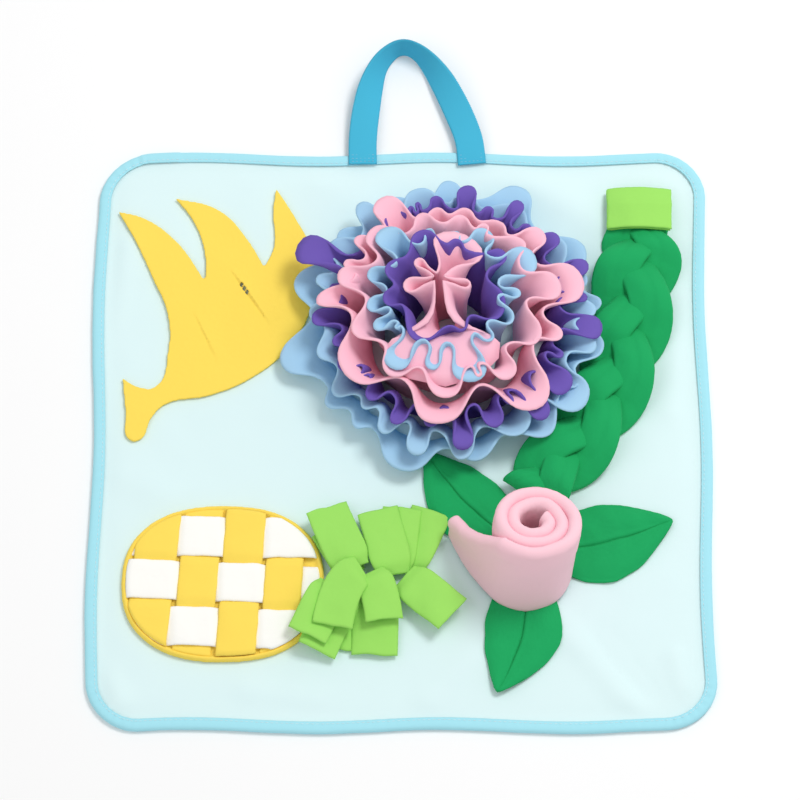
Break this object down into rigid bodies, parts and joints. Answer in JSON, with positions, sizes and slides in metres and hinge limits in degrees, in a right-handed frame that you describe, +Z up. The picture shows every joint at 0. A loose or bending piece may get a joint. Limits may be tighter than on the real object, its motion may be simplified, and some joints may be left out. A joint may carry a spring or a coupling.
{
  "type": "snuffle mat",
  "caption": "Flat bound fleece mat with a webbing carry handle, fruit cut-out, woven oval, strip tuft, braid, leaves, rolled rose and frilled flower for hiding dog treats.",
  "frame": {"origin": "centre of the mat's flat underside, where it rests on the floor", "axes": "+Z up from the underside, +Y towards the carry handle, +X to the right seen from above with the handle at the far side"},
  "size_m": [0.4531, 0.5453, 0.0735],
  "materials": {
    "panel_fleece": "pale aqua short-pile fleece",
    "binding_tape": "light cyan folded woven tape, stitched along its inner edge",
    "webbing": "blue ribbed webbing",
    "yellow_fleece": "yellow short-pile fleece",
    "cream_fleece": "off-white short-pile fleece",
    "lime_fleece": "lime green short-pile fleece",
    "green_fleece": "emerald green short-pile fleece",
    "rose_fleece": "pale rose short-pile fleece, rolled",
    "pink_fleece": "pink short-pile fleece, gathered",
    "powder_blue_fleece": "powder blue short-pile fleece, gathered",
    "purple_fleece": "purple short-pile fleece, gathered"
  },
  "bodies": {
    "root": {"fleece_panel": "panel_fleece", "edge_binding": "binding_tape", "carry_handle": "webbing", "fruit_bunch": "yellow_fleece", "oval_base": "yellow_fleece", "yellow_strip_1": "yellow_fleece", "yellow_strip_2": "yellow_fleece", "yellow_strip_3": "yellow_fleece", "yellow_strip_4": "yellow_fleece", "white_strip_1": "cream_fleece", "white_strip_2": "cream_fleece", "white_strip_3": "cream_fleece", "tuft_strip_01": "lime_fleece", "tuft_strip_02": "lime_fleece", "tuft_strip_03": "lime_fleece", "tuft_strip_04": "lime_fleece", "tuft_strip_05": "lime_fleece", "tuft_strip_06": "lime_fleece", "tuft_strip_07": "lime_fleece", "tuft_strip_08": "lime_fleece", "tuft_strip_09": "lime_fleece", "tuft_strip_10": "lime_fleece", "tuft_strip_11": "lime_fleece", "tuft_strip_12": "lime_fleece", "folded_tab": "lime_fleece", "braid_strand_1": "green_fleece", "braid_strand_2": "green_fleece", "braid_strand_3": "green_fleece", "leaf_right": "green_fleece", "leaf_low": "green_fleece", "leaf_left": "green_fleece", "rolled_rose": "rose_fleece", "blue_frill_1": "powder_blue_fleece", "blue_frill_2": "powder_blue_fleece", "purple_frill_1": "purple_fleece", "pink_frill_1": "pink_fleece", "pink_frill_2": "pink_fleece", "blue_frill_3": "powder_blue_fleece", "purple_frill_2": "purple_fleece", "pink_heart": "pink_fleece"}
  },
  "joints": []
}
